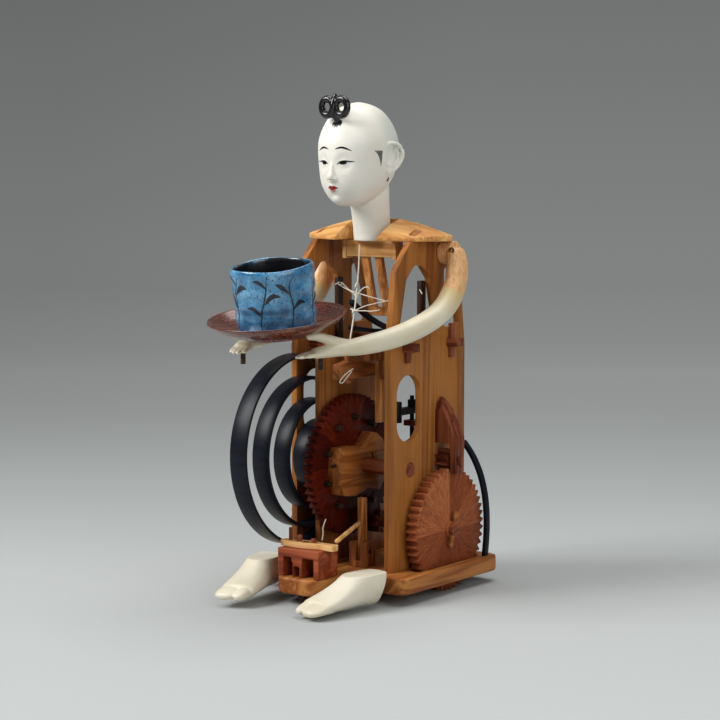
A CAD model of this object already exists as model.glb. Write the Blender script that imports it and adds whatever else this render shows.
"""Tea-serving doll without its robe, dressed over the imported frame. Sizes here are in millimetres."""
import math

import bpy
from mathutils import Matrix, Vector


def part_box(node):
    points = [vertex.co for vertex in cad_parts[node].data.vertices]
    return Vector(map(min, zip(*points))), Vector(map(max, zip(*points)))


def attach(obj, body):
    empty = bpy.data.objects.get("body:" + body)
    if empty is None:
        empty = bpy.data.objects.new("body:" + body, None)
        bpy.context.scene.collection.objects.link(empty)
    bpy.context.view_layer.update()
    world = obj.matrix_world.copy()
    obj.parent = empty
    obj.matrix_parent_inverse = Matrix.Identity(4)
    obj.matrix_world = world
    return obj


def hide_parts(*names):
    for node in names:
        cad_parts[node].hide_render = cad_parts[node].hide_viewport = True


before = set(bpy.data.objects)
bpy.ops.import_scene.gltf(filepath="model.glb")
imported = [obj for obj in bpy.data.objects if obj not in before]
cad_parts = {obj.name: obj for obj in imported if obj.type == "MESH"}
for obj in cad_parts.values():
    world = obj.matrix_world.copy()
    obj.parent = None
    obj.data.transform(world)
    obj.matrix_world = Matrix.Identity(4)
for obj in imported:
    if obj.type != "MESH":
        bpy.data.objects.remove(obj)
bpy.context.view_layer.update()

MM = 0.001
SIDES = ((1, "left"), (-1, "right"))
# The tray and its cup: the middle of the tray, and how far both tip forward
TRAY_SPOT = (0, -112, 198.5)
TRAY_TIP = math.radians(8.5)


def mm(x, y, z):
    """Millimetres as a place in the scene's metres."""
    return Vector((x, y, z)) * MM


def pick(*pieces):
    """Selects only these objects and makes the first one active."""
    if bpy.context.object and bpy.context.object.mode != "OBJECT":
        bpy.ops.object.mode_set(mode="OBJECT")
    bpy.ops.object.select_all(action="DESELECT")
    for piece in pieces:
        piece.select_set(True)
    bpy.context.view_layer.objects.active = pieces[0]


# Camera: where it stood in metres, and its focal length and horizon in the photograph's pixels
PHOTO_WIDE = 720
PHOTO_FOCAL = 2249
HORIZON_ROW = 133
SENSOR = 36
VIEW_TURN = math.radians(36)
VIEW_DROP = math.atan((PHOTO_WIDE / 2 - HORIZON_ROW) / PHOTO_FOCAL)
FAR, SIDEWAYS, HIGH = 1.635, -0.00909, 0.332
across = Vector((math.cos(VIEW_TURN), math.sin(VIEW_TURN), 0))
bpy.ops.object.camera_add(
    location=Vector((FAR * math.sin(VIEW_TURN), -FAR * math.cos(VIEW_TURN), HIGH)) + across * SIDEWAYS,
    rotation=(math.pi / 2 - VIEW_DROP, 0, VIEW_TURN))
camera = bpy.context.object
camera.data.sensor_width = SENSOR
camera.data.lens = SENSOR * PHOTO_FOCAL / PHOTO_WIDE
camera.data.clip_start = 0.05
bpy.context.scene.camera = camera
bpy.context.scene.view_settings.view_transform = "Standard"


# Finishes
def linear(code):
    """An sRGB hex colour as the linear colour that a shader takes."""
    parts = [int(code[i:i + 2], 16) / 255 for i in (1, 3, 5)]
    return tuple(part / 12.92 if part < 0.04045 else ((part + 0.055) / 1.055) ** 2.4 for part in parts) + (1,)


def add(finish, kind, sockets=None, **settings):
    """Adds a node. A socket takes a value, a hex colour or another node's output."""
    node = finish.node_tree.nodes.new("ShaderNode" + kind)
    for name, value in settings.items():
        setattr(node, name, value)
    for name, value in (sockets or {}).items():
        socket = node.inputs[name]
        if isinstance(value, bpy.types.NodeSocket):
            finish.node_tree.links.new(value, socket)
        elif isinstance(value, str):
            socket.default_value = linear(value)
        else:
            socket.default_value = value
    return node


def ramp(finish, factor, *stops):
    """A colour ramp from (place, hex colour) pairs."""
    node = add(finish, "ValToRGB", {"Fac": factor})
    marks = node.color_ramp.elements
    while len(marks) < len(stops):
        marks.new(1)
    for mark, (place, colour) in zip(marks, stops):
        mark.position = place
        mark.color = linear(colour)
    return node.outputs["Color"]


def new_finish(name, slot):
    """An empty material with its output, its record slot kept on it."""
    finish = bpy.data.materials.new(name)
    finish.use_nodes = True
    finish.node_tree.nodes.clear()
    finish["slot"] = slot
    return finish


def surface(finish, colour, bump, depth, **shader):
    """The shader itself, with its colour and its relief, depth in millimetres."""
    relief = add(finish, "Bump", {"Height": bump, "Strength": 1.0, "Distance": depth * MM})
    sockets = {"Base Color": colour, "Normal": relief.outputs["Normal"]}
    sockets.update(shader)
    body = add(finish, "BsdfPrincipled", sockets)
    add(finish, "OutputMaterial", {"Surface": body.outputs["BSDF"]})
    return finish


def placed(finish, centre=(0, 0, 0), turn=(0, 0, 0), scale=(1, 1, 1)):
    """Object coordinates moved to a centre, turned, and stretched."""
    here = add(finish, "TexCoord")
    moved = add(finish, "Mapping", {"Vector": here.outputs["Object"], "Location": -Vector(centre) * MM})
    turned = add(finish, "Mapping", {"Vector": moved.outputs["Vector"], "Rotation": turn, "Scale": scale})
    return turned.outputs["Vector"]


ALONG = {"x": (1, 0, 0), "y": (0, 1, 0), "z": (0, 0, 1)}


def wood(name, slot, along, tones, ring, shine=0.42):
    """Oiled, hand-planed wood: growth rings drawn out along the grain, and short dark pores."""
    finish = new_finish(name, slot)
    lengthwise = ALONG[along]
    ring_scale = tuple((0.07 if one else 1.0) / (ring * MM) / 6 for one in lengthwise)
    pore_scale = tuple((0.06 if one else 1.0) / (1.2 * MM) for one in lengthwise)
    rings = add(finish, "TexNoise", {"Vector": placed(finish, scale=ring_scale), "Scale": 1.6, "Detail": 3.0,
                                     "Roughness": 0.5, "Distortion": 2 / 3})
    lines = add(finish, "Math", {0: rings.outputs["Fac"], 1: 26.0}, operation="MULTIPLY")
    waves = add(finish, "Math", {0: lines.outputs["Value"]}, operation="SINE")
    spread = add(finish, "MapRange", {"Value": waves.outputs["Value"], "From Min": -1.0, "From Max": 1.0})
    pores = add(finish, "TexNoise", {"Vector": placed(finish, scale=pore_scale), "Scale": 1.0, "Detail": 5.0,
                                     "Roughness": 0.65})
    patches = add(finish, "TexNoise", {"Vector": placed(finish), "Scale": 16.0, "Detail": 2.0})
    both = add(finish, "Mix", {"Factor": 0.5, 2: spread.outputs["Result"], 3: pores.outputs["Fac"]})
    shade = add(finish, "Mix", {"Factor": 0.35, 2: both.outputs["Result"], 3: patches.outputs["Fac"]})
    colour = ramp(finish, shade.outputs["Result"], *zip((0.22, 0.42, 0.56, 0.78), tones))
    return surface(finish, colour, pores.outputs["Fac"], 0.06, Roughness=shine,
                   **{"Specular IOR Level": 0.2, "Coat Weight": 0.03, "Coat Roughness": 0.3})


CHERRY = ("#6c3b1a", "#8f5728", "#a0642e", "#b47539")
HONEY = ("#90582a", "#bd8449", "#cf9a5c", "#dcac6e")
QUINCE = ("#45190b", "#6a2f19", "#804126", "#965639")
WALNUT = ("#140b08", "#2a1811", "#3a2217", "#4b3022")
OLD_CHERRY = ("#5a2b13", "#804824", "#97592d", "#b0713f")
plate_cherry = wood("cherry_plates", "cherry", "z", CHERRY, 6.0)
base_cherry = wood("cherry_base", "cherry", "y", ("#6a3513", "#935527", "#aa6a34", "#c08245"), 5.0)
board_cherry = wood("honey_cherry_shoulder", "cherry", "x", ("#b3733a", "#d59a58", "#e3ac68", "#efbe7f"),
                    6.0, 0.36)
bar_cherry = wood("honey_cherry_rods", "cherry", "x", HONEY, 3.0)
slat_box = wood("pale_box_slats", "pale_wood", "z", ("#8d4d22", "#b4713a", "#c8874b", "#d89c5f"), 2.5)
cam_box = wood("pale_box_cam", "pale_wood", "y", ("#7c431c", "#935426", "#a66430", "#bc7d45"), 3.0)
tiller_box = wood("pale_box_tiller", "pale_wood", "x", ("#a5713c", "#d29a5c", "#e2ad70", "#efc187"), 2.5)
bar_quince = wood("quince_bars", "red_wood", "x", QUINCE, 3.0)
post_quince = wood("quince_uprights", "red_wood", "z", QUINCE, 3.0)
block_quince = wood("quince_carriage", "red_wood", "x", ("#582211", "#81371c", "#98492a", "#ad5c38"),
                    4.0, 0.38)
lever_cherry = wood("cherry_levers", "red_wood", "y", OLD_CHERRY, 3.0)
post_cherry = wood("cherry_posts", "red_wood", "z", OLD_CHERRY, 3.0)
peg_ebony = wood("ebony_pegs", "dark_wood", "x", WALNUT, 2.0, 0.35)
stick_ebony = wood("dark_bamboo_sticks", "dark_wood", "z", WALNUT, 2.0, 0.35)


def wheel_wood(name, centre, tones, segments):
    """A wheel glued up from wedges: the grain runs out from the hub and each wedge has its own tone."""
    finish = new_finish(name, "wheel_wood")
    spot = placed(finish, centre)
    parts = add(finish, "SeparateXYZ", {"Vector": spot})
    flat = add(finish, "CombineXYZ", {"Y": parts.outputs["Y"], "Z": parts.outputs["Z"]})
    round_the_hub = add(finish, "VectorMath", {0: flat.outputs["Vector"]}, operation="NORMALIZE")
    out = add(finish, "VectorMath", {0: flat.outputs["Vector"]}, operation="LENGTH")
    spread = add(finish, "VectorMath", {0: round_the_hub.outputs["Vector"], "Scale": 11.0}, operation="SCALE")
    slide = add(finish, "Math", {0: out.outputs["Value"], 1: 55.0}, operation="MULTIPLY")
    shift = add(finish, "CombineXYZ", {"X": slide.outputs["Value"]})
    grain_spot = add(finish, "VectorMath", {0: spread.outputs["Vector"], 1: shift.outputs["Vector"]})
    grain = add(finish, "TexNoise", {"Vector": grain_spot.outputs["Vector"], "Scale": 2.4, "Detail": 6.0,
                                     "Roughness": 0.7})
    turn = add(finish, "Math", {0: parts.outputs["Z"], 1: parts.outputs["Y"]}, operation="ARCTAN2")
    wedge = add(finish, "Math", {0: turn.outputs["Value"], 1: segments / math.tau}, operation="MULTIPLY")
    number = add(finish, "Math", {0: wedge.outputs["Value"]}, operation="FLOOR")
    tone = add(finish, "TexWhiteNoise", {"W": number.outputs["Value"]}, noise_dimensions="1D")
    mixed = add(finish, "Mix", {"Factor": 0.22, 2: grain.outputs["Fac"], 3: tone.outputs["Value"]})
    colour = ramp(finish, mixed.outputs["Result"], *zip((0.28, 0.44, 0.56, 0.74), tones))
    return surface(finish, colour, grain.outputs["Fac"], 0.12, Roughness=0.5, **{"Specular IOR Level": 0.1})


low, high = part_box("drive_axle")
axle_spot = tuple((low + high) / 2 / MM)
low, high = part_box("main_arbor")
arbor_spot = (0, (low.y + high.y) / 2 / MM, (low.z + high.z) / 2 / MM)
drive_quince = wheel_wood("quince_drive_wheels", axle_spot, ("#642c18", "#8a4729", "#a35a36", "#c68154"), 8)
first_quince = wheel_wood("quince_first_wheel", arbor_spot, ("#330a04", "#470f06", "#5c1a0b", "#7c331c"), 10)


def gofun(name, slot, tones, bare=None, shine=0.36):
    """Shell-white lacquer, built up and rubbed smooth: satin, faintly uneven, warm where it is thin."""
    finish = new_finish(name, slot)
    fine = add(finish, "TexNoise", {"Vector": placed(finish), "Scale": 900.0, "Detail": 3.0})
    broad = add(finish, "TexNoise", {"Vector": placed(finish), "Scale": 28.0, "Detail": 3.0})
    colour = ramp(finish, broad.outputs["Fac"], *zip((0.3, 0.5, 0.7), tones))
    if bare:
        colour = bare(finish, colour)
    return surface(finish, colour, fine.outputs["Fac"], 0.02, Roughness=shine,
                   **{"Coat Weight": 0.12, "Coat Roughness": shine, "Subsurface Weight": 0.08,
                      "Subsurface Radius": (0.004, 0.003, 0.002)})


def shaved_scalp(finish, colour):
    """The faint blue-green tint of a shaved scalp above each ear."""
    parts = add(finish, "SeparateXYZ", {"Vector": placed(finish, (0, -6, 330))})
    side = add(finish, "Math", {0: parts.outputs["X"]}, operation="ABSOLUTE")
    inward = add(finish, "Math", {0: side.outputs["Value"], 1: 20 * MM}, operation="SUBTRACT")
    spot = add(finish, "CombineXYZ", {"X": inward.outputs["Value"], "Y": parts.outputs["Y"],
                                      "Z": parts.outputs["Z"]})
    far = add(finish, "VectorMath", {0: spot.outputs["Vector"]}, operation="LENGTH")
    tint = add(finish, "MapRange", {"Value": far.outputs["Value"], "From Min": 8 * MM, "From Max": 24 * MM,
                                    "To Min": 0.42, "To Max": 0.0}, interpolation_type="SMOOTHSTEP")
    both = add(finish, "Mix", {"Factor": tint.outputs["Result"], 6: colour, 7: "#9fb3ac"}, data_type="RGBA")
    return both.outputs[2]


def bare_shoulder(finish, colour):
    """Bare wood above the elbow: the lacquer ends on a soft slanting line."""
    parts = add(finish, "SeparateXYZ", {"Vector": placed(finish)})
    slant = add(finish, "Math", {0: parts.outputs["Y"], 1: 0.55}, operation="MULTIPLY")
    height = add(finish, "Math", {0: parts.outputs["Z"], 1: slant.outputs["Value"]})
    edge = add(finish, "TexNoise", {"Vector": placed(finish), "Scale": 90.0})
    rough = add(finish, "Math", {0: edge.outputs["Fac"], 1: 3 * MM}, operation="MULTIPLY")
    uneven = add(finish, "Math", {0: height.outputs["Value"], 1: rough.outputs["Value"]})
    above = add(finish, "MapRange", {"Value": uneven.outputs["Value"], "From Min": 226 * MM,
                                     "From Max": 228.5 * MM})
    grain = add(finish, "TexNoise", {"Vector": placed(finish, scale=(180, 180, 14)), "Detail": 4.0})
    timber = ramp(finish, grain.outputs["Fac"], (0.3, "#cb925d"), (0.5, "#e5b17a"), (0.7, "#f2c794"))
    thin = add(finish, "MapRange", {"Value": uneven.outputs["Value"], "From Min": 203 * MM,
                                    "From Max": 227 * MM, "To Min": 0.0, "To Max": 0.9})
    creamy = add(finish, "Mix", {"Factor": thin.outputs["Result"], 6: colour, 7: "#d4ba7c"}, data_type="RGBA")
    both = add(finish, "Mix", {"Factor": above.outputs["Result"], 6: creamy.outputs[2], 7: timber},
               data_type="RGBA")
    return both.outputs[2]


head_gofun = gofun("gofun_head", "gofun", ("#e6e0d1", "#efebe0", "#f3f0e8"), shaved_scalp, 0.48)
foot_gofun = gofun("gofun_feet", "gofun", ("#dacfb4", "#e6ddc6", "#ece5d3"))
arm_gofun = gofun("gofun_arms", "arm_skin", ("#d3c7a8", "#ded4b9", "#e5ddc6"), bare_shoulder)


def gloss(name, slot, tones, roughness, grain=(300, 300, 300), relief=0.02, **shader):
    """A closed, shiny surface with slight uneven tone."""
    finish = new_finish(name, slot)
    tone = add(finish, "TexNoise", {"Vector": placed(finish, scale=grain), "Scale": 1.0, "Detail": 5.0,
                                    "Roughness": 0.6})
    colour = ramp(finish, tone.outputs["Fac"], *zip((0.35, 0.65), tones))
    return surface(finish, colour, tone.outputs["Fac"], relief, Roughness=roughness, **shader)


# Polished baleen: black with a cold sheen, and faint fibres along the band
baleen = gloss("polished_baleen", "whalebone", ("#0a0d15", "#131723"), 0.36, (40, 300, 300), 0.02,
               **{"Specular IOR Level": 0.16, "Coat Weight": 0.06, "Coat Roughness": 0.36})
black_lacquer = gloss("black_lacquer", "black_lacquer", ("#040404", "#090809"), 0.2, relief=0.01,
                      **{"Coat Weight": 0.3, "Coat Roughness": 0.2})
forged_iron = gloss("blackened_iron", "iron", ("#0f0e0e", "#262424"), 0.5, (900, 900, 900), 0.05,
                    Metallic=0.7)
brass = gloss("worn_brass_pin", "iron", ("#8a6427", "#c49a4b"), 0.34, (700, 700, 700), 0.02, Metallic=1.0)
white_thread = gloss("white_silk_thread", "thread", ("#cfc6b2", "#f1ebdd"), 0.75, (1600, 1600, 1600), 0.15,
                     **{"Sheen Weight": 0.3})
face_ink = gloss("black_face_ink", "black_lacquer", ("#060504", "#0d0b0a"), 0.6,
                 **{"Specular IOR Level": 0.2})
soft_ink = gloss("grey_hair_wash", "black_lacquer", ("#55554e", "#77766e"), 0.5)
slot_brown = gloss("brown_ear_slot", "gofun", ("#2f1d12", "#503524"), 0.5)
lip_red = gloss("safflower_red", "gofun", ("#7a0b0b", "#9c1712"), 0.3)
lip_pink = gloss("pale_lip_red", "gofun", ("#d48a7c", "#e3a99b"), 0.35)
eye_white = gloss("eye_white", "gofun", ("#e9ecec", "#f6f8f7"), 0.25)
glaze_ink = gloss("iron_brush_glaze", "glaze", ("#0d1620", "#22303c"), 0.2, (400, 400, 400), 0.04)


def red_lacquer(name, centre):
    """Transparent red-brown lacquer over turned wood: the grain and the lathe's rings show through."""
    finish = new_finish(name, "red_lacquer")
    tilt = (-TRAY_TIP, 0, 0)
    spot = placed(finish, centre, tilt)
    parts = add(finish, "SeparateXYZ", {"Vector": spot})
    flat = add(finish, "CombineXYZ", {"X": parts.outputs["X"], "Y": parts.outputs["Y"]})
    out = add(finish, "VectorMath", {0: flat.outputs["Vector"]}, operation="LENGTH")
    ringed = add(finish, "Math", {0: out.outputs["Value"], 1: 3200.0}, operation="MULTIPLY")
    lathe = add(finish, "Math", {0: ringed.outputs["Value"]}, operation="SINE")
    grain = add(finish, "TexNoise", {"Vector": placed(finish, centre, tilt, (700, 60, 700)), "Detail": 5.0,
                                     "Scale": 1.0})
    turned_in = add(finish, "Math", {0: lathe.outputs["Value"], 1: 0.07, 2: grain.outputs["Fac"]},
                    operation="MULTIPLY_ADD")
    colour = ramp(finish, turned_in.outputs["Value"], (0.3, "#37130d"), (0.5, "#5d2519"), (0.72, "#874830"))
    return surface(finish, colour, turned_in.outputs["Value"], 0.05, Roughness=0.26,
                   **{"Coat Weight": 0.5, "Coat Roughness": 0.12})


tray_lacquer = red_lacquer("red_lacquer_tray", TRAY_SPOT)


def speckled_glaze(name, centre):
    """Thick blue glaze, pooled darker low down, with iron specks and a worn dark rim and inside."""
    finish = new_finish(name, "glaze")
    tilt = (-TRAY_TIP, 0, 0)
    parts = add(finish, "SeparateXYZ", {"Vector": placed(finish, centre, tilt)})
    cloud = add(finish, "TexNoise", {"Vector": placed(finish), "Scale": 60.0, "Detail": 5.0,
                                     "Roughness": 0.6})
    blue = ramp(finish, cloud.outputs["Fac"], (0.3, "#174a6c"), (0.46, "#2b6f9b"), (0.58, "#498fbb"),
                (0.75, "#88b9d3"))
    specks = add(finish, "TexNoise", {"Vector": placed(finish), "Scale": 760.0, "Detail": 1.0})
    dots = add(finish, "MapRange", {"Value": specks.outputs["Fac"], "From Min": 0.63, "From Max": 0.67})
    speckled = add(finish, "Mix", {"Factor": dots.outputs["Result"], 6: blue, 7: "#12283c"}, data_type="RGBA")
    flat = add(finish, "CombineXYZ", {"X": parts.outputs["X"], "Y": parts.outputs["Y"]})
    out = add(finish, "VectorMath", {0: flat.outputs["Vector"]}, operation="LENGTH")
    wander = add(finish, "Math", {0: cloud.outputs["Fac"], 1: 1.6 * MM, 2: out.outputs["Value"]},
                 operation="MULTIPLY_ADD")
    inside = add(finish, "MapRange", {"Value": wander.outputs["Value"], "From Min": 27.2 * MM,
                                      "From Max": 28.2 * MM, "To Min": 1.0, "To Max": 0.0})
    high = add(finish, "MapRange", {"Value": parts.outputs["Z"], "From Min": 4 * MM, "From Max": 5 * MM})
    hollow = add(finish, "Math", {0: inside.outputs["Result"], 1: high.outputs["Result"]},
                 operation="MULTIPLY")
    colour = add(finish, "Mix", {"Factor": hollow.outputs["Value"], 6: speckled.outputs[2], 7: "#14161a"},
                 data_type="RGBA")
    return surface(finish, colour.outputs[2], cloud.outputs["Fac"], 0.3, Roughness=0.22,
                   **{"Coat Weight": 1.0, "Coat Roughness": 0.16})


blue_glaze = speckled_glaze("speckled_blue_glaze", TRAY_SPOT)


# Ways of making pieces
def along(points, share):
    """A point on the smooth line through points, share 0 to 1."""
    last = len(points) - 1
    spot = min(max(share, 0), 1) * last
    number = min(int(spot), last - 1)
    t = spot - number
    four = [points[min(max(number + step, 0), last)] for step in (-1, 0, 1, 2)]
    result = []
    for a, b, c, d in zip(*four):
        result.append(0.5 * (2 * b + (c - a) * t + (2 * a - 5 * b + 4 * c - d) * t ** 2
                             + (3 * b - a - 3 * c + d) * t ** 3))
    return result


def settle(piece, body, finish, *nodes, angle=40):
    """Puts the piece's place into its mesh, gives it its finish and seats it on its body."""
    pick(piece)
    if piece.type != "MESH":
        bpy.ops.object.convert(target="MESH")
        piece = bpy.context.object
    bpy.ops.object.transform_apply(location=True, rotation=True, scale=True)
    bpy.ops.object.shade_smooth_by_angle(angle=math.radians(angle))
    piece.data.materials.clear()
    piece.data.materials.append(finish)
    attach(piece, body)
    if nodes:
        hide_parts(*nodes)
    return piece


def finish_with(piece, kind, **settings):
    """Adds a modifier to the piece and applies it."""
    pick(piece)
    modifier = piece.modifiers.new(kind.lower(), kind)
    for name, value in settings.items():
        setattr(modifier, name, value)
    bpy.ops.object.modifier_apply(modifier=modifier.name)


def edit(piece, *steps):
    """Runs edit-mode steps on the whole mesh."""
    pick(piece)
    bpy.ops.object.mode_set(mode="EDIT")
    bpy.ops.mesh.select_all(action="SELECT")
    for step, settings in steps:
        getattr(bpy.ops.mesh, step)(**settings)
    bpy.ops.object.mode_set(mode="OBJECT")


def drawn(name, columns, rows, place):
    """A fine grid drawn out into a shape: place(u, v) gives each corner in millimetres."""
    bpy.ops.mesh.primitive_grid_add(x_subdivisions=columns, y_subdivisions=rows, size=1)
    piece = bpy.context.object
    piece.name = name
    for corner in piece.data.vertices:
        corner.co = mm(*place(corner.co.x + 0.5, corner.co.y + 0.5))
    return piece


def carved(name, rings, sides=32, steps=5, level=False):
    """A carved limb through rings of centre, half width and half height, closed at both ends.

    Level rings lie flat; the others stand square to the limb.
    """
    centres = [ring[0] for ring in rings]
    sizes = [ring[1:3] for ring in rings]

    def place(u, v):
        centre = Vector(along(centres, v))
        run = Vector(along(centres, min(v + 0.01, 1))) - Vector(along(centres, max(v - 0.01, 0)))
        run = Vector((0, 0, -1)) if level else run
        upright = Vector((0, 0, 1)) if abs(run.normalized().z) < 0.9 else Vector((0, -1, 0))
        side = run.cross(upright).normalized()
        over = side.cross(run).normalized()
        wide, tall = along(sizes, v)
        end = min(v, 1 - v) * (len(rings) - 1) * 2
        close = 1 if end >= 1 else math.sqrt(max(1 - (1 - end) ** 2, 0.0004))
        angle = math.tau * u
        return centre + (side * wide * math.cos(angle) + over * tall * math.sin(angle)) * close

    piece = drawn(name, sides, (len(rings) - 1) * steps, place)
    edit(piece, ("remove_doubles", {"threshold": 1e-6}), ("fill_holes", {"sides": 0}),
         ("normals_make_consistent", {"inside": False}))
    return piece


def merged(name, pieces, voxel, smoothing):
    """Pieces joined into one smooth carving."""
    pick(*pieces)
    bpy.ops.object.join()
    whole = bpy.context.object
    whole.name = name
    whole.data.remesh_voxel_size = voxel * MM
    bpy.ops.object.voxel_remesh()
    finish_with(whole, "SMOOTH", factor=0.5, iterations=smoothing)
    return whole


def pull(piece, spot, move, reach):
    """Draws the surface near a spot in or out, fading with distance."""
    for corner in piece.data.vertices:
        far = (corner.co - mm(*spot)).length / (reach * MM)
        if far < 1:
            corner.co += mm(*move) * (1 - far ** 2) ** 2


def turned(name, profile, sides=96, fine=0):
    """A turned piece: an outline of (radius, height) spun round the upright axis.

    With fine, the outline is smoothed into that many steps between its points.
    """
    steps = fine * (len(profile) - 1)
    points = [along(profile, i / steps) for i in range(steps + 1)] if fine else profile
    line = bpy.data.meshes.new(name)
    line.from_pydata([mm(radius, 0, height) for radius, height in points],
                     [(i, i + 1) for i in range(len(points) - 1)], [])
    piece = bpy.data.objects.new(name, line)
    bpy.context.scene.collection.objects.link(piece)
    edit(piece, ("spin", {"steps": sides, "angle": math.tau, "center": (0, 0, 0), "axis": (0, 0, 1)}),
         ("select_all", {"action": "SELECT"}), ("remove_doubles", {"threshold": 1e-6}),
         ("normals_make_consistent", {"inside": False}))
    return piece


def string(name, points, round_mm, body, finish):
    """A smooth thread or wire through hand-chosen control points, as a curve."""
    curve = bpy.data.curves.new(name, "CURVE")
    curve.dimensions = "3D"
    curve.bevel_depth = round_mm * MM
    curve.bevel_resolution = 3
    curve.use_fill_caps = True
    spline = curve.splines.new("NURBS")
    spline.points.add(len(points) - 1)
    for knot, place in zip(spline.points, points):
        knot.co = (*mm(*place), 1)
    spline.order_u = 3
    spline.use_endpoint_u = True
    spline.resolution_u = 10
    piece = bpy.data.objects.new(name, curve)
    bpy.context.scene.collection.objects.link(piece)
    curve.materials.append(finish)
    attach(piece, body)
    return piece


# Cords first: the taut cord from the neck to the stop lever, and the thread to the stick
pull_route = ((-5, -9, 251.5), (-4.5, -10.5, 236), (-3.2, -15, 218), (-1.0, -21, 203), (-0.2, -25.5, 190),
              (1.0, -31.7, 174.4))
cross_route = ((-34.6, 9, 222), (-27, 5, 218.5), (-17, -2.5, 216.2), (-4.6, -13.6, 214.5))
for name, route, length in (("pull_cord_thread", pull_route, 0.0811),
                            ("cross_cord_thread", cross_route, 0.0388)):
    thread = string(name, route, 0.6, "frame", white_thread)
    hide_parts(name.replace("_thread", ""))


# Plain wooden and iron pieces: the solids with their edges eased
def cut_away(piece, *cutters):
    """Takes cutters out of the piece, and then out of the scene."""
    for cutter in cutters:
        finish_with(piece, "BOOLEAN", object=cutter, operation="DIFFERENCE", solver="EXACT")
        bpy.data.objects.remove(cutter)


def block(low, high):
    """A plain block between two corners."""
    middle = [(a + b) / 2 for a, b in zip(low, high)]
    bpy.ops.mesh.primitive_cube_add(size=1, location=mm(*middle))
    bpy.context.object.scale = mm(*[b - a for a, b in zip(low, high)])
    bpy.ops.object.transform_apply(location=True, rotation=True, scale=True)
    return bpy.context.object


# The base board's nose: where it starts, its half width and length, and how square its oval is
NOSE_START, NOSE_HALF, NOSE_LONG, NOSE_SQUARE = -68, 23, 27, 0.7


def nose_corners():
    """What is taken off the base board's nose to leave it round."""
    waste = block((-40, -120, 0), (40, NOSE_START, 30))
    bpy.ops.mesh.primitive_cylinder_add(vertices=128, radius=1, depth=0.1, location=mm(0, NOSE_START, 15))
    kept = bpy.context.object
    for corner in kept.data.vertices:
        corner.co.x = math.copysign(NOSE_HALF * MM * abs(corner.co.x) ** NOSE_SQUARE, corner.co.x)
        corner.co.y = math.copysign(NOSE_LONG * MM * abs(corner.co.y) ** NOSE_SQUARE, corner.co.y)
    cut_away(waste, kept)
    return waste


# Boards worked over until their edges are round: grid size and number of passes
rounded = {"base_board": (1.0, 30), "turntable_block": (0.5, 14), "shoulder_board": (0.6, 6)}
# The shoulder's dome: all above its foot sinks towards its rim, by a share of its height
DOME_FOOT = 255
DOME_HALF_WIDE, DOME_HALF_DEEP, DOME_MIDDLE = 60, 32, 9.5
DOME_SINK = 0.45
# The two gates through the turntable block and the slot between them, as opposite corners
BLOCK_CUTS = (((-13, -95, 19), (-6, -60, 34)), ((3.5, -95, 19), (13.5, -60, 34)),
              ((-4.2, -95, 19), (1, -60, 27.5)))
# The neck bar is a hair narrower than the gap between its hangers
NECK_BAR_SHARE = 0.995


def eased(node, body, finish, width):
    """A copy of a solid with its sharp edges rounded over, as sandpaper leaves them."""
    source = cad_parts[node]
    copy = source.copy()
    copy.data = source.data.copy()
    copy.name = node + "_eased"
    copy.parent = None
    for key in list(copy.keys()):
        del copy[key]
    bpy.context.scene.collection.objects.link(copy)
    edit(copy, ("remove_doubles", {"threshold": 1e-6}),
         ("dissolve_limited", {"angle_limit": math.radians(0.5)}))
    if node in ("shoulder_board", "left_plate", "right_plate"):
        for corner in copy.data.vertices:
            over = corner.co.z - DOME_FOOT * MM
            if over > 0:
                rim = math.hypot(corner.co.x / DOME_HALF_WIDE,
                                 (corner.co.y - DOME_MIDDLE * MM) / DOME_HALF_DEEP) / MM
                corner.co.z = DOME_FOOT * MM + over * (1 - DOME_SINK * rim ** 2)
    if node == "base_board":
        cut_away(copy, nose_corners())
    if node == "turntable_block":
        cut_away(copy, *[block(*corners) for corners in BLOCK_CUTS])
    if node == "neck_bar":
        for corner in copy.data.vertices:
            corner.co.x *= NECK_BAR_SHARE
    if node in rounded:
        copy = merged(node + "_rounded", [copy], *rounded[node])
    else:
        finish_with(copy, "BEVEL", width=width * MM, segments=2, limit_method="ANGLE",
                    angle_limit=math.radians(35), use_clamp_overlap=True)
    return settle(copy, body, finish, node)


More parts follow.
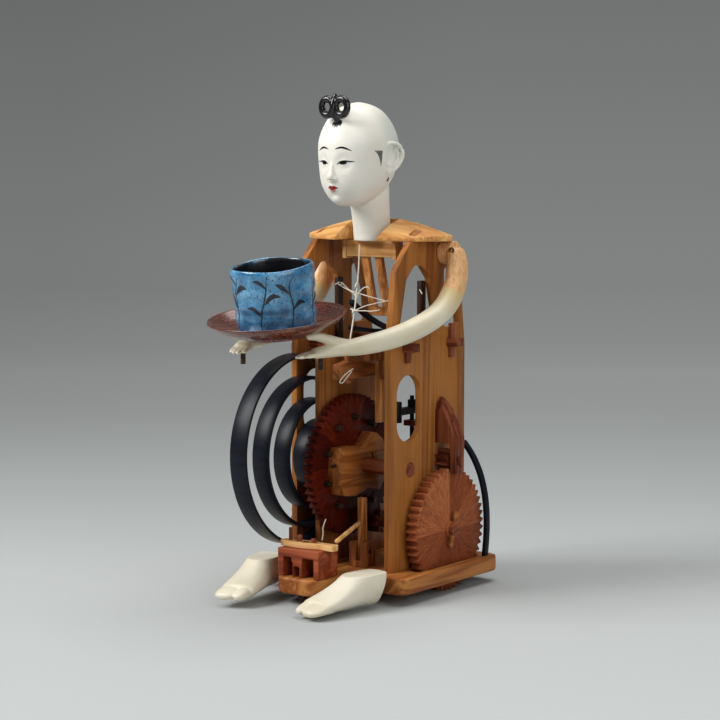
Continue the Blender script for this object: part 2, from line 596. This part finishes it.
# Finish, width of the eased edge, body and solids; a board worked over has no width of its own
eased_pieces = (
    (plate_cherry, 0.6, "frame", "left_plate right_plate middle_plate"),
    (base_cherry, None, "frame", "base_board"),
    (board_cherry, None, "frame", "shoulder_board"),
    (bar_cherry, 0.5, "head", "neck_bar"),
    (bar_cherry, 0.4, "frame", "neck_hangers"),
    (slat_box, 0.5, "head", "head_slats"),
    (bar_quince, 0.5, "frame", "front_cross_bar rear_cross_bar"),
    (post_quince, 0.4, "frame", "wedge_keys verge_bearings"),
    (post_cherry, 0.4, "frame", "stop_post lever_bracket"),
    (block_quince, None, "frame", "turntable_block"),
    (lever_cherry, 0.6, "stop", "stop_lever"),
    (slat_box, 0.4, "stop", "stop_slat"),
    (slat_box, 0.5, "lever", "steering_lever"),
    (tiller_box, 0.4, "link", "steering_rod"),
    (tiller_box, 0.6, "steering", "tiller_plate"),
    (post_quince, 0.4, "steering", "tiller_pins"),
    (post_quince, 0.5, "steering", "steering_fork"),
    (stick_ebony, 0.5, "frame", "arm_sticks"),
    (stick_ebony, 0.5, "castor", "front_wheel"),
    (forged_iron, 0.2, "steering", "front_axle"),
    (bar_quince, 0.6, "train", "main_arbor"),
    (peg_ebony, 0.4, "train", "train_pegs"),
    (cam_box, 0.8, "train", "steering_cam"),
    (first_quince, 0.3, "train", "first_wheel"),
    (drive_quince, 0.3, "axle", "left_drive_wheel right_drive_wheel"),
    (bar_quince, 0.5, "axle", "drive_axle axle_pinion"),
    (cam_box, 0.5, "axle", "wheel_wedges"),
    (bar_quince, 0.4, "governor", "governor_arbor outboard_pinion"),
    (first_quince, 0.3, "governor", "crown_wheel"),
    (forged_iron, 0.3, "verge", "verge_staff foliot"),
    (forged_iron, 0.2, "frame", "pivot_pins spring_post"),
    (baleen, 0.5, "frame", "mainspring cord_springs rear_strip"),
    (bar_quince, 0.4, "arms", "arm_shaft"),
    (peg_ebony, 0.3, "arms", "hand_pegs"),
    (post_quince, 1.2, "frame", "bearing_handle"),
)
for finish, width, body, names in eased_pieces:
    for node in names.split():
        eased(node, body, finish, width)



# Head: skull, neck, nose and ears carved as one, then shaped
def ball(name, centre, half, turn=(0, 0, 0)):
    """An egg shape by its centre, half sizes and turn."""
    bpy.ops.mesh.primitive_uv_sphere_add(segments=48, ring_count=32, radius=1, location=mm(*centre),
                                         rotation=turn)
    piece = bpy.context.object
    piece.name = name
    piece.scale = mm(*half)
    bpy.ops.object.transform_apply(location=True, rotation=True, scale=True)
    return piece


skull_line = (((0, -17, 354), 3, 4), ((0, -17, 350), 12.6, 15.2), ((0, -17, 344), 19.1, 23.0),
              ((0, -17, 335), 24.2, 29.0), ((0, -17, 326), 26.8, 32.2), ((0, -17.2, 317), 26.8, 32.6),
              ((0, -17.9, 309), 25.8, 31.6), ((0, -19.2, 301.5), 24.4, 30.0), ((0, -21.2, 295), 21.9, 27.4),
              ((0, -23.6, 289), 17.6, 22.8), ((0, -26.0, 283.8), 12.4, 16.6), ((0, -28, 279.8), 6.2, 9.0))
neck_line = (((0, 0, 254.2), 13.2, 13.2), ((0, 0, 256), 13.6, 13.6), ((0, -1.2, 266), 13.6, 13.6),
             ((0, -2.6, 276), 14.0, 14.0), ((0, -4, 285), 14.6, 14.6), ((0, -5, 312), 14.6, 14.6))
nose_line = (((0, -47.0, 317), 1.3, 1.6), ((0, -48.2, 310), 1.8, 2.0), ((0, -49.4, 304.5), 2.2, 2.5),
             ((0, -50.4, 300.8), 2.9, 3.0), ((0, -48.8, 297.8), 2.2, 2.2))
head_parts = [carved("skull", skull_line, 96, 6, True), carved("neck", neck_line, 48, 5, True),
              carved("nose", nose_line, 24)]
head_parts += [ball("nostril", (2.7 * side, -48.8, 299.7), (1.5, 2.6, 1.6)) for side in (-1, 1)]
for side in (-1, 1):
    ear_turn = math.radians(-32 * side)
    turn = Matrix.Rotation(ear_turn, 3, "Z")
    centre = Vector((27.0 * side, -14.6, 314.5))

    def on_ear(out, back, up):
        """A place on the ear: outward, backward and up from its middle."""
        return tuple(centre + turn @ Vector((out * side, back * 0.94, up * 0.84)))

    shell = ball("ear_shell", on_ear(0, 0.6, 0), (1.5, 6.6, 9.3), (math.radians(8), 0, ear_turn))
    lobe = ball("ear_lobe", on_ear(0.4, -2.5, -10.5), (1.9, 2.8, 3.4), (0, 0, ear_turn))
    helix = [(0.6, -4.5, 1.5), (1.4, -6.4, 5.5), (1.8, -5.4, 9.6), (2.0, -1.0, 12.2), (2.2, 4.2, 11.2),
             (2.4, 7.6, 6.8), (2.2, 8.0, 0.8), (1.8, 5.6, -5.0), (1.4, 2.0, -9.6), (0.8, -2.0, -12.0)]
    fold = [(1.2, 0.5, 8.2), (1.8, 3.6, 4.6), (1.9, 3.9, 0.2), (1.8, 2.0, -4.4), (1.4, -1.0, -6.8),
            (1.2, -4.4, -6.0)]
    flap = [(0.8, -5.6, -0.5), (1.4, -5.4, -3.2), (0.8, -5.4, -5.6)]
    head_parts += [shell, lobe]
    for line, thick in ((helix, 1.5), (fold, 1.15), (flap, 1.5)):
        head_parts.append(carved("ear_line", [(on_ear(*place), thick, thick) for place in line], 12, 4))
head = merged("carved_head", head_parts, 0.55, 5)
# Sockets, eyeballs, mouth, the hollow under it, and the chin: where, how far, and how wide
for spot, move, reach in (
        ((8.8, -47.0, 311.0), (0, 1.5, 0), 9.0), ((-8.8, -47.0, 311.0), (0, 1.5, 0), 9.0),
        ((9.2, -46.5, 310.8), (0, -0.9, 0), 4.4), ((-9.2, -46.5, 310.8), (0, -0.9, 0), 4.4),
        ((0, -48.5, 293.2), (0, -1.2, 0), 5.5), ((0, -47, 287.6), (0, 0.9, 0), 4.0),
        ((0, -43, 282.6), (0, -1.4, -0.4), 7.0)):
    pull(head, spot, move, reach)
finish_with(head, "SMOOTH", factor=0.4, iterations=2)
settle(head, "head", head_gofun, "head", angle=60)


def painted(name, upper, lower, finish, facing="Y", columns=24, rows=4, lift=0.07):
    """A brush mark between two lines of (sideways, up) points, laid on the head from the front or side."""
    def place(u, v):
        top = along(upper, u)
        bottom = along(lower, u)
        first = bottom[0] + (top[0] - bottom[0]) * v
        second = bottom[1] + (top[1] - bottom[1]) * v
        return (first, -62, second) if facing == "Y" else (62 if facing == "X" else -62, first, second)

    mark = drawn(name, columns, rows, place)
    finish_with(mark, "SHRINKWRAP", target=head, wrap_method="PROJECT", use_project_x=facing != "Y",
                use_project_y=facing == "Y", use_negative_direction=True, use_positive_direction=True,
                offset=lift * MM, wrap_mode="ABOVE_SURFACE")
    edit(mark, ("normals_make_consistent", {"inside": False}))
    return settle(mark, "head", finish)


# Painted marks on both halves of the face: upper line, lower line, finish, columns, and lift off the skin
face_marks = (
    ("brow", [(2.8, 320.6), (5.2, 322.0), (8.2, 322.5), (11.0, 321.7), (14.2, 319.6)],
     [(2.8, 320.3), (5.2, 320.9), (8.2, 321.1), (11.0, 320.4), (14.0, 319.3)], face_ink, 24, 0.07),
    ("eye_white", [(4.3, 310.1), (6.6, 311.2), (9.4, 311.7), (11.8, 311.5), (14.0, 311.1)],
     [(4.3, 310.1), (6.6, 309.9), (9.4, 309.8), (11.8, 310.3), (14.0, 310.9)], eye_white, 24, 0.07),
    ("iris", [(5.6, 311.0), (7.2, 311.8), (9.2, 312.0), (10.8, 311.6)],
     [(5.9, 310.2), (7.2, 309.9), (8.8, 309.9), (10.4, 310.5)], face_ink, 12, 0.16),
    ("lid", [(3.8, 310.2), (6.2, 312.2), (9.4, 312.8), (12.2, 312.5), (15.6, 312.2)],
     [(4.2, 309.8), (6.4, 311.3), (9.4, 311.8), (12.2, 311.6), (15.6, 311.9)], face_ink, 24, 0.22),
)
for side, word in SIDES:
    for mark, upper, lower, finish, columns, lift in face_marks:
        upper, lower = [[(x * side, z) for x, z in line] for line in (upper, lower)]
        painted("%s_%s" % (word, mark), upper, lower, finish, columns=columns, lift=lift)
    painted(word + "_sideburn", [(-31.4, 319.6), (-28.8, 317.0), (-26.4, 313.0), (-24.9, 308.5)],
            [(-24.2, 319.6), (-24.4, 317.0), (-24.5, 313.0), (-24.6, 308.5)], soft_ink,
            "X" if side > 0 else "-X", 12, 6)
    slot = ball(word + "_ear_slot", (22.9 * side, -13.4, 299.6), (0.9, 1.1, 2.2), (math.radians(-24), 0, 0))
    settle(slot, "head", slot_brown)
painted("upper_lip",
        [(-4.4, 293.4), (-2.3, 294.6), (-0.8, 294.9), (0, 294.4), (0.8, 294.9), (2.3, 294.6), (4.4, 293.4)],
        [(-4.4, 293.2), (-2.4, 292.5), (-1.2, 291.9), (0, 291.6), (1.2, 291.9), (2.4, 292.5), (4.4, 293.2)],
        lip_red)
painted("lower_lip", [(-3.0, 292.2), (-1.5, 291.7), (0, 291.4), (1.5, 291.7), (3.0, 292.2)],
        [(-2.6, 291.6), (-1.6, 290.7), (0, 290.3), (1.6, 290.7), (2.6, 291.6)], lip_pink)
# Hair: two loops tied above the forehead, and the strokes of its root
knot_parts = []
for side in (-1, 1):
    bpy.ops.mesh.primitive_torus_add(major_radius=4.9 * MM, minor_radius=2.4 * MM, major_segments=48,
                                     minor_segments=16, location=mm(6.2 * side, -46, 350.2),
                                     rotation=(math.pi / 2, 0, 0))
    bpy.context.object.scale = (1, 1.15, 1.1)
    bpy.ops.object.transform_apply(location=True, rotation=True, scale=True)
    knot_parts.append(bpy.context.object)
tie_line = (((0, -46.4, 341.5), 2.4, 2.0), ((0, -46.6, 346), 2.1, 2.6), ((0, -46.8, 350), 1.9, 3.2),
            ((0, -46.6, 354), 2.4, 2.8), ((0.4, -46, 357.6), 2.2, 1.6), ((1.0, -46, 360.2), 0.4, 0.4))
knot_parts.append(carved("hair_tie", tie_line, 20, 4))
knot_parts.append(carved("hair_root", [((0, -39.5, 338.0), 2.8, 2.0), ((0, -41.5, 339.5), 2.7, 2.2),
                                       ((0, -44.5, 342.5), 2.5, 2.2), ((0, -46, 345.5), 2.2, 2.0)], 24, 4))
knot = merged("hair_loops", knot_parts, 0.45, 3)
settle(knot, "head", black_lacquer, "hair_knot", angle=60)
for number in range(13):
    lean = (number - 6) * 0.62
    length = 4.6 - abs(number - 6) * 0.3 + (number % 3) * 0.7
    painted("hair_stroke_%02d" % number, [(lean * 0.6, 341.0), (lean, 338.5), (lean * 1.25, 341.0 - length)],
            [(lean * 0.6 + 1.3, 341.0), (lean + 0.9, 338.5), (lean * 1.25 + 0.2, 341.0 - length)], face_ink,
            columns=8, rows=2)

# Arms and hands: bare wood above the elbow, white lacquer below
arm_line = (((54.5, 25, 250), 5.5, 8.6), ((58, 24, 238), 7.0, 9.2), ((60, 18, 222), 7.8, 9.2),
            ((60, 4, 207.5), 8.0, 8.4), ((58, -18, 197.5), 7.8, 8.0), ((53, -46, 190), 7.0, 7.6),
            ((46, -74, 186), 6.4, 6.6), ((40, -94, 184.5), 6.0, 5.0), ((35, -106, 183.2), 6.6, 4.2),
            ((31, -114, 182.2), 6.0, 3.4))
thumb_line = (((44, -82, 185.5), 4.6, 4.6), ((40, -93, 188.0), 4.2, 4.2), ((35.5, -102, 191.4), 3.4, 3.6),
              ((31, -109, 193.8), 3.0, 3.0), ((27, -115, 193.4), 2.2, 2.2))
# The fingers: where they root, their way out, the way across the palm, and each one's place and reach
PALM_EDGE = Vector((33.5, -109, 182.6))
FINGER_WAY = Vector((-0.385, -0.923, -0.13))
PALM_X, PALM_Y = 0.923, -0.385
fingers = ((-4.6, 15.0), (-1.5, 18.5), (1.7, 18.0), (4.7, 14.0))


def mirror(rings, side):
    """An arm's rings on either side of the doll."""
    return [((place[0] * side, place[1], place[2]), wide, tall) for place, wide, tall in rings]


for side, word in SIDES:
    parts = [carved(word + "_limb", mirror(arm_line, side)),
             carved(word + "_thumb", mirror(thumb_line, side), 20)]
    for number, (sideways, reach) in enumerate(fingers):
        root = PALM_EDGE + Vector((PALM_X * sideways, PALM_Y * sideways, 0))
        finger = [(tuple(root + FINGER_WAY * reach * share), thick, thick * 0.9)
                  for share, thick in ((-0.4, 2.0), (0, 2.1), (0.35, 2.0), (0.7, 1.75), (1.0, 1.1))]
        parts.append(carved("%s_finger_%d" % (word, number), mirror(finger, side), 16, 3))
    bpy.ops.mesh.primitive_cylinder_add(vertices=48, radius=8.5 * MM, depth=10.4 * MM,
                                        location=mm(49.6 * side, 26, 246), rotation=(0, math.pi / 2, 0))
    parts.append(bpy.context.object)
    arm = merged(word + "_carved_arm", parts, 0.75, 4)
    settle(arm, "arms", arm_gofun, word + "_arm", angle=60)
    hole = ball(word + "_pin_hole", (57.2 * side, 17.7, 248), (2.4, 1.2, 2.4))
    settle(hole, "arms", slot_brown)
    pin = ball(word + "_shoulder_pin", (57.2 * side, 16.9, 248), (1.4, 1.1, 1.4))
    settle(pin, "arms", brass)


# Tray and cup, turned upright and then tipped forward together
def tip_forward(piece):
    """Sets a piece on the tray's middle, tipped with the tray."""
    piece.rotation_euler = (TRAY_TIP, 0, 0)
    piece.location = mm(*TRAY_SPOT)


tray_profile = [(0, 0), (14, 0.0), (30, 0.1), (38, 1.9), (43.5, 5.0), (47.0, 8.3), (48.2, 8.6), (48.5, 8.0),
                (48.0, 7.2), (44.0, 3.3), (38.0, -0.4), (30.0, -2.5), (24.2, -2.8), (23.8, -5.2),
                (22.0, -5.4), (21.4, -2.8), (10, -2.6), (0, -2.6)]
tray = turned("turned_tray", tray_profile, 128)
finish_with(tray, "BEVEL", width=0.25 * MM, segments=2, limit_method="ANGLE", angle_limit=math.radians(30))
tip_forward(tray)
settle(tray, "arms", tray_lacquer, "tray")
cup_profile = [(0, 1.2), (20, 1.2), (22.5, 0.1), (25.6, 0.2), (27.0, 1.6), (27.5, 5), (28.1, 9.5), (27.7, 14),
               (28.3, 19), (28.0, 24), (28.6, 29), (28.4, 34), (29.0, 39), (28.8, 42.6), (28.0, 44.2),
               (26.6, 43.6), (26.2, 40), (25.8, 32), (25.6, 20), (25.0, 11), (22, 6.2), (12, 5.0), (0, 4.8)]
cup = turned("thrown_cup", cup_profile, 128, 4)
# Thrown by hand: a little out of round, with a wavy lip
for corner in cup.data.vertices:
    turn = math.atan2(corner.co.y, corner.co.x)
    sway = 1 + 0.008 * math.sin(2 * turn + 1) + 0.004 * math.sin(5 * turn + corner.co.z * 160)
    corner.co.x *= sway
    corner.co.y *= sway
    if corner.co.z > 30 * MM:
        corner.co.z += 0.5 * MM * math.sin(3 * turn + 0.6) * (corner.co.z / MM - 30) / 14
tip_forward(cup)
settle(cup, "cup", blue_glaze, "tea_cup", angle=60)


# The cup's own radius, and where a stroke starts before it is laid on
CUP_ROUND, STROKE_ROUND = 28.5, 30.2


def brushed(name, spine, widths):
    """A dark brush stroke on the cup: spine points are (degrees round, height), widths in millimetres."""
    def place(u, v):
        degrees, height = along(spine, u)
        ahead = along(spine, min(u + 0.05, 1))
        behind = along(spine, max(u - 0.05, 0))
        round_mm = math.radians(ahead[0] - behind[0]) * CUP_ROUND
        rise = ahead[1] - behind[1]
        length = math.hypot(round_mm, rise) or 1
        wide = along(widths, u)[0] * (v - 0.5)
        angle = math.radians(degrees + math.degrees(-rise / length * wide / CUP_ROUND))
        height += round_mm / length * wide
        return (STROKE_ROUND * math.cos(angle), STROKE_ROUND * math.sin(angle), height)

    stroke = drawn(name, 28, 4, place)
    tip_forward(stroke)
    pick(stroke)
    bpy.ops.object.transform_apply(location=True, rotation=True, scale=True)
    finish_with(stroke, "SHRINKWRAP", target=cup, wrap_method="NEAREST_SURFACEPOINT", offset=0.06 * MM,
                wrap_mode="ABOVE_SURFACE")
    edit(stroke, ("normals_make_consistent", {"inside": False}))
    settle(stroke, "cup", glaze_ink)


strokes = (
    ([(-122, 4), (-116, 16), (-118, 28), (-108, 40)], (0.7, 1.2, 0.9, 0.3)),
    ([(-117, 18), (-128, 25), (-138, 27)], (0.6, 3.6, 0.5)),
    ([(-117, 27), (-104, 33), (-92, 33)], (0.6, 3.8, 0.4)),
    ([(-113, 34), (-124, 38), (-132, 40)], (0.5, 2.6, 0.4)),
    ([(-74, 3), (-72, 15), (-64, 28), (-60, 41)], (0.6, 1.1, 1.0, 0.3)),
    ([(-71, 13), (-84, 19), (-94, 19)], (0.6, 3.4, 0.5)),
    ([(-66, 22), (-54, 27), (-43, 26)], (0.6, 3.6, 0.4)),
    ([(-61, 32), (-72, 37), (-81, 38)], (0.5, 2.8, 0.4)),
    ([(-30, 5), (-26, 18), (-30, 32), (-22, 40)], (0.6, 1.2, 0.9, 0.3)),
    ([(-27, 16), (-16, 21), (-5, 20)], (0.6, 3.5, 0.4)),
    ([(-29, 27), (-41, 33), (-49, 35)], (0.5, 3.0, 0.4)),
    ([(10, 4), (14, 20), (24, 38)], (0.6, 1.1, 0.3)),
    ([(14, 18), (28, 22), (40, 20)], (0.6, 3.4, 0.4)),
    ([(-165, 5), (-160, 20), (-164, 36)], (0.6, 1.2, 0.3)),
    ([(-161, 17), (-150, 23), (-141, 22)], (0.6, 3.2, 0.4)),
    ([(60, 5), (66, 22), (62, 38)], (0.6, 1.2, 0.3)),
    ([(65, 20), (80, 26), (92, 24)], (0.6, 3.4, 0.4)),
    ([(130, 5), (124, 20), (132, 37)], (0.6, 1.2, 0.3)),
    ([(125, 22), (112, 28), (104, 28)], (0.6, 3.4, 0.4)),
)
for number, (spine, widths) in enumerate(strokes):
    brushed("leaf_stroke_%02d" % number, spine, [(width,) for width in widths])

# Feet in split-toed socks, all carved and lacquered, cut off flat above the ankle; the right one is lifted
FOOT_TURN = math.radians(10)
FOOT_LIFT = {"left": 0, "right": 3}
HEEL_X, HEEL_Y, SOLE = 46, -59, 2.5
ANKLE_CUT = 22.8
foot_line = ((0, 0, 9.6, 14.6), (4, 0, 11.4, 15.6), (14, 0, 12.0, 15.2), (23, 0.2, 12.2, 13.0),
             (32, 0.5, 12.8, 10.2), (42, 0.9, 13.6, 7.8), (52, 1.2, 13.8, 6.0), (60, 1.4, 12.8, 4.8))
toes = ((7.8, 11.2, 4.9), (-3.2, 12.6, 8.9))
toe_line = ((-0.9, 4.8, 0.95), (0, 4.4, 1.0), (0.45, 3.8, 0.98), (0.8, 3.0, 0.84), (1.08, 2.0, 0.45))
for side, word in SIDES:
    def on_foot(forward, inward, up):
        """A place on the foot: forward of the heel, towards the other foot, and up."""
        turn = FOOT_TURN * side
        x, y = -inward * side, -forward
        return (HEEL_X * side + x * math.cos(turn) + y * math.sin(turn),
                HEEL_Y - x * math.sin(turn) + y * math.cos(turn), up)

    sole = SOLE + FOOT_LIFT[word]
    parts = [carved(word + "_sole", [(on_foot(far, inward, sole + tall), wide, tall)
                                     for far, inward, wide, tall in foot_line], 40)]
    for inward, reach, thick in toes:
        toe = [(on_foot(57 + reach * share, inward - share * 0.9, sole + high), thick * fat, high)
               for share, high, fat in toe_line]
        parts.append(carved(word + "_toe", toe, 24))
    foot = merged(word + "_sock", parts, 0.8, 5)
    for corner in foot.data.vertices:
        corner.co.z = min(max(corner.co.z, sole * MM), (sole + ANKLE_CUT) * MM)
    settle(foot, word + "_step", foot_gofun, word + "_foot", angle=50)

# Small threads: knots, tails and the loop below the peg
tails = (
    [(-36.0, 3, 220.6), (-34.5, 5, 222.6), (-32.5, 6.5, 221.4), (-34.0, 7, 219.8), (-35.0, 5, 221.0)],
    [(-34.6, 5, 221), (-19.0, -8, 218.8), (-1.1, -15.4, 216.4), (18.3, -10, 211.6)],
    [(-3.8, -15.0, 221.5), (-2.4, -16.8, 223.0), (-3.4, -14.4, 224.6), (-4.8, -15.0, 222.4),
     (-3.2, -16.6, 221)],
    [(-3.2, -16.2, 211.0), (-1.4, -17.8, 212.0), (-2.8, -15.6, 213.4), (-4.2, -16.4, 211.4),
     (-2.4, -17.6, 210)],
    [(-2.8, -16.6, 211.6), (0.6, -18.4, 217.0), (5.0, -18.8, 221.0), (9.4, -18.4, 222.2), (10.2, -18, 220.6)],
    [(-2.0, -20.6, 205.0), (-0.6, -22.0, 203.8), (-2.8, -21.8, 202.6), (-2.4, -20.2, 205.2)],
    [(-4.6, -21, 205.8), (-2.0, -21.2, 204.2), (6, -19, 204.6), (13, -18, 204.2), (18.5, -17, 205.6)],
    [(-1.8, -20.4, 204.0), (5, -17.8, 207.8), (12, -14.4, 209.6), (21, -9, 212.0)],
    [(16.5, -46.5, 165.5), (12.0, -48, 162.5), (7.6, -48.4, 158.0), (5.6, -48.4, 155.0), (8.4, -48.2, 154.6),
     (11.4, -48, 158.4), (15.6, -46.8, 163.6)],
    [(4.0, -62.2, 58.5), (2.6, -64.5, 53.0), (4.6, -66.0, 48.0), (4.0, -66.9, 43.8)],
    [(35.0, 8.0, 222), (38, 6, 219), (41, 4, 217)],
)
for number, line in enumerate(tails):
    string("thread_tail_%d" % number, line, 0.42, "frame", white_thread)


# Stage: a pale sweep that darkens away from the doll, in metres; it turns up behind its bend
SWEEP_NEAR, SWEEP_LONG, SWEEP_WIDE, SWEEP_BEND = -2.4, 7.2, 12, 3.4


def sweep_place(u, v):
    """A place on the sweep, square to the camera."""
    deep = SWEEP_NEAR + v * SWEEP_LONG
    rise = max(deep - SWEEP_BEND, 0)
    flat = Vector(((u - 0.5) * SWEEP_WIDE, min(deep, SWEEP_BEND) + min(rise, 0.35), rise * 2.4))
    flat.rotate(Matrix.Rotation(VIEW_TURN, 3, "Z"))
    return flat / MM


sweep = drawn("studio_sweep", 4, 60, sweep_place)
paper = new_finish("grey_paper", "thread")
here = placed(paper, turn=(0, 0, -VIEW_TURN))
parts = add(paper, "SeparateXYZ", {"Vector": here})
away = add(paper, "Math", {0: parts.outputs["Y"], 1: parts.outputs["Z"]})
share = add(paper, "MapRange", {"Value": away.outputs["Value"], "From Min": -1.0, "From Max": 5.0})
tone = ramp(paper, share.outputs["Result"], (0.06, "#bcbfbe"), (0.17, "#b3b6b5"), (0.24, "#a7abaa"),
            (0.33, "#9a9d9c"), (0.48, "#8b8e8d"), (0.75, "#838684"), (0.9, "#737574"))
dim = add(paper, "MapRange", {"Value": parts.outputs["X"], "From Min": -0.7, "From Max": 0.25,
                              "To Min": 0.86, "To Max": 1.0})
dimmed = add(paper, "VectorMath", {0: tone, "Scale": dim.outputs["Result"]}, operation="SCALE")
tone = dimmed.outputs["Vector"]
matt = add(paper, "BsdfDiffuse", {"Color": tone})
glow = add(paper, "Emission", {"Color": tone, "Strength": 1.0})
reach = add(paper, "MapRange", {"Value": away.outputs["Value"], "From Min": 0.2, "From Max": 1.4,
                                "To Min": 0.0, "To Max": 0.9})
both = add(paper, "MixShader", {"Fac": reach.outputs["Result"], 1: matt.outputs["BSDF"],
                                2: glow.outputs["Emission"]})
add(paper, "OutputMaterial", {"Surface": both.outputs["Shader"]})
sweep.data.materials.append(paper)

# Soft studio light, all turned to the doll's chest
CHEST = Vector((0, -0.03, 0.18))
for name, place, size, power in (("key_softbox", (-1.0, -1.3, 1.4), 1.0, 40),
                                 ("top_softbox", (0.1, 0.2, 1.9), 1.6, 24),
                                 ("right_fill", (1.6, -0.6, 0.8), 1.2, 9)):
    bpy.ops.object.light_add(type="AREA", location=place)
    lamp = bpy.context.object
    lamp.name = name
    lamp.data.size = size
    lamp.data.energy = power
    lamp.rotation_euler = (CHEST - Vector(place)).to_track_quat("-Z", "Y").to_euler()
world = bpy.data.worlds.new("studio")
bpy.context.scene.world = world
world.use_nodes = True
sky = world.node_tree.nodes["Background"].inputs
sky["Color"].default_value = linear("#b4b7b8")
sky["Strength"].default_value = 0.33
